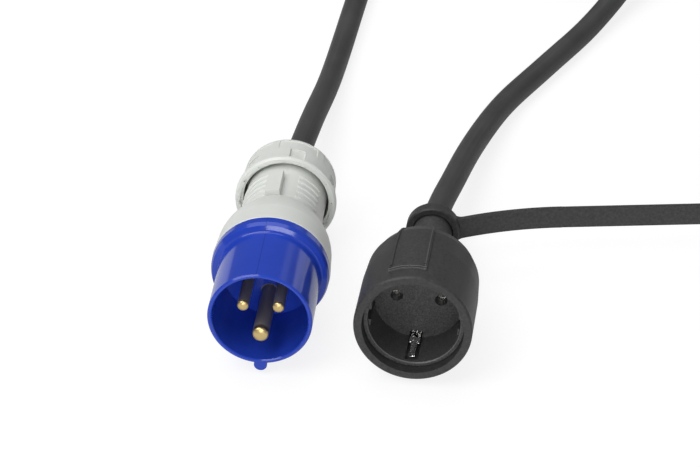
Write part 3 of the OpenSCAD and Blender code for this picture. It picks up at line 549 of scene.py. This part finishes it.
# Scale of the drawing marks: round the sheath in u and per metre along it in v
MARK_SCALE = (34.0, 9.0, 1.0)
DUST_COLOUR = (0.32, 0.32, 0.32, 1.0)


def sheath_finish(colour):
    """Matt rubber sheath: fine lengthwise drawing marks along v, dusty patches, and a soft grain."""
    finish = Finish("cable_rubber")
    tree = finish.tree
    uv = add(tree, "ShaderNodeTexCoord").outputs["UV"]
    stretched = add(tree, "ShaderNodeMapping", {"Vector": uv, "Scale": MARK_SCALE})
    marks = noise(tree, stretched.outputs[0], scale=1.0, detail=4.0)
    tone = effect(tree, "Tone drift", {
        "Vector": finish.where, "Scale": 55.0, "Dark": rgba(colour, 0.86), "Light": rgba(colour, 1.16)})
    dusty = map_range(tree, marks, 0.56, 0.8, to_high=0.10)
    finish.paint(blend_colour(tree, dusty, tone.outputs["Color"], DUST_COLOUR))
    finish.feed("Roughness", map_range(tree, tone.outputs["Cloud"], 0, 1, to_low=0.5, to_high=0.62))
    grain = effect(tree, "Moulded grain", {"Vector": finish.where, "Scale": 1400.0})
    both = math_node(tree, "ADD", grain.outputs["Height"], marks)
    finish.bump(both, distance=0.05 * MM, strength=0.5)
    return finish.material


class LEAD_OT_cable(bpy.types.Operator):
    """Lay the cable from the plug's gland through its tied coil to the socket"""

    bl_idname = "adapter_lead.cable"
    bl_label = "Cable"

    def execute(self, context):
        cable = settings("lead_cable")
        points = np.vstack([
            np.array(PLUG_ROUTE_MM) * MM,
            coil_points(cable),
            np.array(SOCKET_ROUTE_MM[::-1]) * MM,
        ])
        path = spline(points, POINTS_PER_SPAN)
        sheath = tube(path, cable.diameter / 2, CABLE_SIDES)
        piece = grid_object(
            "cable", sheath, closed=True, capped=True, sharp=CORD_SHARP, stretch=distance_along(path))
        piece.data.materials.append(sheath_finish(cable.colour))
        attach(piece, "lead")
        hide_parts("cable_plug_run", "cable_coil", "cable_socket_run")
        tie = tie_piece(cable)
        exit_point = PLUG.place(0.0, 0.0, CABLE_EXIT_BEHIND_MOUTH)
        return {"FINISHED"}


TIE_TURN = math.radians(45)
TIE_STEPS = 96
TIE_CORNERS = 24
TIE_SQUARENESS = 0.35
TIE_SKIN_GAP = 0.03 * MM
TIE_COLOUR = (0.02, 0.02, 0.021)


def tie_section(cable, reach):
    """Taut line round the three strands: in each direction the furthest strand, plus the reach."""
    middle = (cable.outer_turn + cable.inner_turn) / 2
    strands = np.array([
        (cable.inner_turn, cable.low_height),
        (cable.outer_turn, cable.low_height),
        (middle, cable.top_height),
    ])
    angle = np.linspace(0, 2 * math.pi, TIE_STEPS, endpoint=False)
    way = np.stack([np.cos(angle), np.sin(angle)], -1)
    furthest = strands[np.argmax(way @ strands.T, axis=1)]
    return furthest[:, None] + reach[None, :, None] * way[:, None]


def squared(wave):
    """A sine or cosine pushed towards -1 and 1, for a section between an ellipse and a rectangle."""
    return np.sign(wave) * np.abs(wave) ** TIE_SQUARENESS


def tie_piece(cable):
    """Hook-and-loop tie: a flat band with rounded edges, bent round the strands and with the coil."""
    corner = np.linspace(0, 2 * math.pi, TIE_CORNERS, endpoint=False)
    across = cable.tie_width / 2 * squared(np.cos(corner))
    out = (cable.tie_thickness / 2 - TIE_SKIN_GAP) * squared(np.sin(corner))
    section = tie_section(cable, cable.diameter / 2 + cable.tie_thickness / 2 + out)
    middle = (cable.outer_turn + cable.inner_turn) / 2
    turn = TIE_TURN + across[None, :] / middle
    grid = np.stack([
        COIL_CENTRE[0] + section[..., 0] * np.cos(turn),
        COIL_CENTRE[1] + section[..., 0] * np.sin(turn),
        section[..., 1],
    ], -1)
    ring = np.concatenate([grid, grid[:1]])
    piece = grid_object("coil_tie_band", ring, closed=True, sharp=CORD_SHARP)
    finish = moulded_finish(
        "tie_fabric", TIE_COLOUR, spread=0.25, roughness=0.85, grain=2600.0, depth=0.25 * MM, pale=0.12,
        Sheen_Weight=0.4)
    piece.data.materials.append(finish.material)
    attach(piece, "lead")
    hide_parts("coil_tie")
    return piece


# Plug

SKIRT_LINE_ACROSS = -1.2 * MM
SKIRT_LINE_HALF = 0.10 * MM
LINE_SOFT = 0.15 * MM
SHAFT_DARK_START = 4.2 * MM
SHAFT_DARK_SOFT = 0.7 * MM
SHAFT_COLOUR = (0.160, 0.145, 0.147, 1.0)
THREAD_START = 73.8 * MM
THREAD_END = 94 * MM
THREAD_ARCS_DEG = ((23, 60), (-75, -22), (110, 157), (-158, -108))
NECK_RADIUS = 18 * MM
RIB_ROOT = -0.2 * MM
RIB_HALF_FOOT = 0.95 * MM
RIB_HALF_TOP = 0.4 * MM
RIB_STEPS = 32
RIB_SHARP = 0.5


def blue_finish(plug):
    """Glossy blue nylon with a faint mould parting line along the top of the skirt."""
    finish = moulded_finish(
        "blue_nylon", plug.blue, spread=0.08, roughness=0.13, grain=900.0, depth=0.006 * MM)
    line = finish.strip(PLUG, SKIRT_LINE_ACROSS, SKIRT_LINE_HALF, LINE_SOFT)
    finish.tint(line, share=0.5, colour=rgba(plug.blue, 0.45))
    return finish.material


def grey_finish(plug):
    """Light grey nylon with half gloss and faint flow marks."""
    finish = moulded_finish(
        "grey_nylon", plug.grey, spread=0.02, roughness=0.34, grain=800.0, depth=0.012 * MM)
    return finish.material


def pin_finish(plug):
    """Bright turned brass at the domed tip, and a shaft painted dark and not metallic behind it."""
    finish = Finish("pin_brass")
    tree = finish.tree
    # From this mark back, the shaft is painted dark and not metallic
    dark_shaft = finish.behind(PLUG, SHAFT_DARK_START, SHAFT_DARK_SOFT)
    tone = effect(tree, "Tone drift", {
        "Vector": finish.where, "Scale": 220.0,
        "Dark": rgba(plug.brass, 0.9), "Light": rgba(plug.brass, 1.08)})
    finish.paint(blend_colour(tree, dark_shaft, tone.outputs["Color"], SHAFT_COLOUR))
    finish.feed("Metallic", math_node(tree, "SUBTRACT", 1.0, dark_shaft))
    finish.feed("Roughness", map_range(tree, tone.outputs["Cloud"], 0, 1, to_low=0.36, to_high=0.44))
    grain = effect(tree, "Moulded grain", {"Vector": finish.where, "Scale": 2400.0})
    finish.bump(grain.outputs["Height"], distance=0.006 * MM)
    return finish.material


class LEAD_OT_plug(bpy.types.Operator):
    """Give the plug's skirt, housing, nut and pins their finishes"""

    bl_idname = "adapter_lead.plug"
    bl_label = "Plug finishes"

    def execute(self, context):
        plug = settings("lead_plug")
        wear(["plug_shroud"], blue_finish(plug))
        wear(["plug_housing", "gland_nut", "thrust_ring"], grey_finish(plug))
        wear(["line_pin", "neutral_pin", "earth_pin"], pin_finish(plug))
        return {"FINISHED"}


def thread_rib(plug, start, arc):
    """One stretch of thread: a trapezium carried along a helix, t = start + pitch * clock / turn."""
    clock = np.linspace(arc[0], arc[1], RIB_STEPS)[:, None]
    r = NECK_RADIUS + np.array([RIB_ROOT, plug.thread_height, plug.thread_height, RIB_ROOT])
    along = np.array([-RIB_HALF_FOOT, -RIB_HALF_TOP, RIB_HALF_TOP, RIB_HALF_FOOT])
    t = start + plug.thread_pitch * clock / (2 * math.pi) + along
    return grid_object("rib", PLUG.polar(r, clock, t), closed=True, capped=True, sharp=RIB_SHARP)


class LEAD_OT_thread(bpy.types.Operator):
    """Add the ribs of the coarse interrupted thread on the housing's neck"""

    bl_idname = "adapter_lead.thread"
    bl_label = "Neck thread"

    def execute(self, context):
        plug = settings("lead_plug")
        ribs = []
        for start in np.arange(THREAD_START, THREAD_END, plug.thread_pitch):
            ribs += [thread_rib(plug, start, np.radians(arc)) for arc in THREAD_ARCS_DEG]
        piece = joined("neck_thread", ribs)
        piece.data.materials.append(frame["nodes"]["plug_housing"].data.materials[0])
        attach(piece, "lead")
        return {"FINISHED"}


# Socket and inner pieces

# Places of painted highlights where light catches edges: the pad's two front lips and its right border on the
# shell, and the insert's front edge
PAD_ACROSS = -4.77 * MM
PAD_HALF_WIDTH = 7.95 * MM
PAD_LIPS = ((6.95 * MM, 7.25 * MM), (8.62 * MM, 8.95 * MM))
PAD_SOFT = 0.2 * MM
PAD_BORDER_ACROSS = 2.65 * MM
PAD_BORDER_HALF = 0.12 * MM
PAD_END = 46 * MM
INSERT_EDGE = (5.1 * MM, 5.4 * MM)
# Pale colour painted on those edges as highlights where light catches them
EDGE_HIGHLIGHT_COLOUR = (0.20, 0.20, 0.20, 1.0)


def rubber_finish(name, colour):
    """Matt moulded rubber with a fine speckle."""
    return moulded_finish(
        name, colour, spread=0.32, roughness=0.50, grain=1200.0, depth=0.09 * MM, pale=0.10, drift=800.0)


def shell_finish(socket):
    """Rubber, with painted highlights on the raised pad's front lips and on its right border, where light catches
    the edges.
    """
    finish = rubber_finish("shell_rubber", socket.rubber)
    pad = finish.strip(SOCKET, PAD_ACROSS, PAD_HALF_WIDTH, PAD_SOFT)
    # Painted highlights on the pad's two front lips
    for start, end in PAD_LIPS:
        lip = math_node(finish.tree, "MULTIPLY", pad, finish.band(SOCKET, start, end))
        finish.tint(lip, share=0.7, colour=EDGE_HIGHLIGHT_COLOUR)
    # Painted highlight along the pad's right border
    line = finish.strip(SOCKET, PAD_BORDER_ACROSS, PAD_BORDER_HALF, LINE_SOFT)
    border = math_node(finish.tree, "MULTIPLY", line, finish.band(SOCKET, PAD_LIPS[0][0], PAD_END))
    finish.tint(border, share=0.4, colour=EDGE_HIGHLIGHT_COLOUR)
    return finish.material


def insert_finish(socket):
    """Grainy thermoset, with a painted highlight on its front edge, where light catches it."""
    finish = moulded_finish(
        "insert_thermoset", socket.insert, spread=0.55, roughness=0.38, grain=1100.0, depth=0.14 * MM,
        pale=0.12, drift=1500.0)
    # Painted highlight along the insert's front edge
    finish.tint(finish.band(SOCKET, *INSERT_EDGE), share=0.6, colour=EDGE_HIGHLIGHT_COLOUR)
    return finish.material


class LEAD_OT_socket(bpy.types.Operator):
    """Give the socket's shell, insert, rear and cap their finishes"""

    bl_idname = "adapter_lead.socket"
    bl_label = "Socket finishes"

    def execute(self, context):
        socket = settings("lead_socket")
        wear(["socket_shell"], shell_finish(socket))
        wear(["socket_rear"], rubber_finish("rear_rubber", socket.rear).material)
        wear(["socket_cap"], rubber_finish("socket_rubber", socket.rubber).material)
        wear(["socket_insert", "cord_saddle", "cord_clamp"], insert_finish(socket))
        return {"FINISHED"}


def metal_finish(name, colour, roughness, dark=0.85, grain=1800.0, depth=0.02 * MM):
    """Plated metal with a little drift in tone and roughness, and marks that are fine unless set coarser."""
    finish = Finish(name, Metallic=1.0)
    tone = effect(finish.tree, "Tone drift", {
        "Vector": finish.where, "Scale": 300.0, "Dark": rgba(colour, dark), "Light": rgba(colour, 1.1)})
    finish.paint(tone.outputs["Color"])
    low, high = roughness - 0.05, roughness + 0.08
    finish.feed("Roughness", map_range(finish.tree, tone.outputs["Cloud"], 0, 1, low, high))
    marks = effect(finish.tree, "Moulded grain", {"Vector": finish.where, "Scale": grain})
    finish.bump(marks.outputs["Height"], depth)
    return finish.material


STEEL_COLOUR = (0.62, 0.62, 0.60)
CONTACT_COLOUR = (0.86, 0.85, 0.82)
SPRING_COLOUR = (0.9, 0.89, 0.88)
SEAL_COLOUR = (0.04, 0.04, 0.04)
CORE_COLOURS = {
    "line_core": (0.12, 0.045, 0.018),
    "neutral_core": (0.02, 0.10, 0.42),
    "earth_core": (0.25, 0.42, 0.02),
}


class LEAD_OT_inner_pieces(bpy.types.Operator):
    """Give the metal parts, the seal and the cores inside plug and socket their finishes"""

    bl_idname = "adapter_lead.inner_pieces"
    bl_label = "Inner pieces"

    def execute(self, context):
        steel = metal_finish("plated_steel", STEEL_COLOUR, roughness=0.25)
        plated = metal_finish("plated_contact", CONTACT_COLOUR, roughness=0.20)
        spring = metal_finish(
            "plated_spring", SPRING_COLOUR, roughness=0.20, dark=0.9, grain=260.0, depth=1.4 * MM)
        wear(["plug_terminal_screws", "socket_terminal_screws", "clamp_screws"], steel)
        wear(["line_contact", "neutral_contact"], plated)
        wear(["earth_clip"], spring)
        seal = moulded_finish(
            "seal_rubber", SEAL_COLOUR, spread=0.1, roughness=0.55, grain=1500.0, depth=0.03 * MM)
        wear(["gland_seal"], seal.material)
        for core, colour in CORE_COLOURS.items():
            skin = moulded_finish(
                core + "_skin", colour, spread=0.06, roughness=0.4, grain=1200.0, depth=0.01 * MM)
            wear(["plug_" + core, "socket_" + core], skin.material)
        return {"FINISHED"}


# Stage

LAMPS = [
    ("key_softbox", (-0.70, -0.50, 1.00), (0.75, 0.75), 5.8),
    ("front_softbox", (-0.10, -1.20, 0.50), (0.60, 0.50), 5.6),
    ("fill_softbox", (0.75, -0.45, 0.75), (0.50, 0.60), 0.1),
    ("top_softbox", (-0.28, 0.35, 1.15), (1.40, 1.10), 7.3),
    ("back_left_panel", (-0.78, 0.75, 0.28), (0.34, 0.40), 0.11),
    ("back_right_strip", (0.36, 0.80, 0.42), (0.10, 0.50), 0.045),
    ("low_right_strip", (0.52, 0.80, 0.12), (0.10, 0.20), 0.045),
]
LAMP_TARGET = Vector((-0.08, 0.0, 0.02))
SENSOR_WIDTH_MM = 36.0
FLOOR_HALF = 6.0
FLOOR_DIMMED = 0.3
GLOW_TO_CAMERA = 0.82
GLOW_IN_GLOSS = 0.5
WHITE = (1, 1, 1, 1)


def floor_material(colour):
    """Pale floor: plain diffuse for the light that it throws back, brighter where camera or gloss see it."""
    material = bpy.data.materials.new("pale_floor")
    material.use_nodes = True
    tree = material.node_tree
    tree.nodes.remove(tree.nodes["Principled BSDF"])
    leave = tree.nodes["Material Output"]
    plain = add(tree, "ShaderNodeBsdfDiffuse", {"Color": rgba(colour)})
    dim = add(tree, "ShaderNodeBsdfDiffuse", {"Color": rgba(colour, FLOOR_DIMMED)})
    ray = add(tree, "ShaderNodeLightPath")
    strength = map_range(tree, ray.outputs["Is Camera Ray"], 0, 1, GLOW_IN_GLOSS, GLOW_TO_CAMERA)
    glow = add(tree, "ShaderNodeEmission", {"Color": WHITE, "Strength": strength})
    seen = add(tree, "ShaderNodeAddShader", {0: dim.outputs[0], 1: glow.outputs[0]})
    gloss = math_node(tree, "MAXIMUM", ray.outputs["Is Glossy Ray"], ray.outputs["Is Transmission Ray"])
    looks = math_node(tree, "MAXIMUM", ray.outputs["Is Camera Ray"], gloss)
    mix = add(tree, "ShaderNodeMixShader", {0: looks, 1: plain.outputs[0], 2: seen.outputs[0]})
    tree.links.new(mix.outputs[0], leave.inputs[0])
    return material


def place_camera(scene, stage):
    """Camera that looks straight ahead and down at the lead."""
    camera = bpy.data.objects.new("camera", bpy.data.cameras.new("camera"))
    scene.collection.objects.link(camera)
    camera.location = stage.camera_at
    camera.rotation_euler = (math.pi / 2 - stage.camera_dip, 0, 0)
    camera.data.sensor_width = SENSOR_WIDTH_MM
    camera.data.lens = stage.camera_lens
    scene.camera = camera


def lay_floor(stage):
    """Square floor at height 0, facing up."""
    edge = np.array([-FLOOR_HALF, FLOOR_HALF])
    x, y = np.meshgrid(edge, edge)
    floor = grid_object("floor", np.stack([x, y, np.zeros_like(x)], -1))
    if floor.data.polygons[0].normal.z < 0:
        floor.data.flip_normals()
    floor.data.materials.append(floor_material(stage.floor_colour))


def hang_lamp(scene, name, place, size, power):
    """Soft rectangular lamp turned to the lead."""
    lamp = bpy.data.lights.new(name, "AREA")
    lamp.shape = "RECTANGLE"
    lamp.size, lamp.size_y = size
    lamp.energy = power
    holder = bpy.data.objects.new(name, lamp)
    holder.location = place
    holder.rotation_euler = (LAMP_TARGET - holder.location).to_track_quat("-Z", "Y").to_euler()
    scene.collection.objects.link(holder)


def light_room(scene, stage):
    """Even light from all sides, and a white backdrop for the camera."""
    world = bpy.data.worlds.new("room")
    world.use_nodes = True
    tree = world.node_tree
    background = tree.nodes["Background"]
    background.inputs["Color"].default_value = WHITE
    ray = add(tree, "ShaderNodeLightPath")
    strength = map_range(tree, ray.outputs["Is Camera Ray"], 0, 1, stage.world_light, 1.0)
    tree.links.new(strength, background.inputs["Strength"])
    scene.world = world


class LEAD_OT_stage(bpy.types.Operator):
    """Set the camera, the pale floor, the soft lamps and the room's light"""

    bl_idname = "adapter_lead.stage"
    bl_label = "Stage"

    def execute(self, context):
        stage = settings("lead_stage")
        scene = context.scene
        place_camera(scene, stage)
        lay_floor(stage)
        for lamp in LAMPS:
            hang_lamp(scene, *lamp)
        light_room(scene, stage)
        scene.view_settings.view_transform = "Standard"
        return {"FINISHED"}


# Panel and registration

OPERATORS = (
    LEAD_OT_stage, LEAD_OT_cable, LEAD_OT_plug, LEAD_OT_thread, LEAD_OT_socket, LEAD_OT_inner_pieces,
)


class LEAD_PT_panel(bpy.types.Panel):
    """Lists the steps that dress the lead"""

    bl_idname = "LEAD_PT_panel"
    bl_label = "Adapter lead"
    bl_space_type = "VIEW_3D"
    bl_region_type = "UI"
    bl_category = "Adapter lead"

    def draw(self, context):
        for step in OPERATORS:
            self.layout.operator(step.bl_idname)


SETTINGS = {
    "lead_stage": StageSettings,
    "lead_cable": CableSettings,
    "lead_plug": PlugSettings,
    "lead_socket": SocketSettings,
}


def register():
    """Registers the classes and hangs the settings on the scene."""
    for item in (*SETTINGS.values(), *OPERATORS, LEAD_PT_panel):
        bpy.utils.register_class(item)
    for name, group in SETTINGS.items():
        setattr(bpy.types.Scene, name, bpy.props.PointerProperty(type=group))


def unregister():
    """Undoes register."""
    for name in SETTINGS:
        delattr(bpy.types.Scene, name)
    for item in reversed((*SETTINGS.values(), *OPERATORS, LEAD_PT_panel)):
        bpy.utils.unregister_class(item)


def main():
    """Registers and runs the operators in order."""
    register()
    bpy.ops.adapter_lead.stage()
    bpy.ops.adapter_lead.cable()
    bpy.ops.adapter_lead.plug()
    bpy.ops.adapter_lead.thread()
    bpy.ops.adapter_lead.socket()
    bpy.ops.adapter_lead.inner_pieces()


if __name__ == "__main__":
    main()
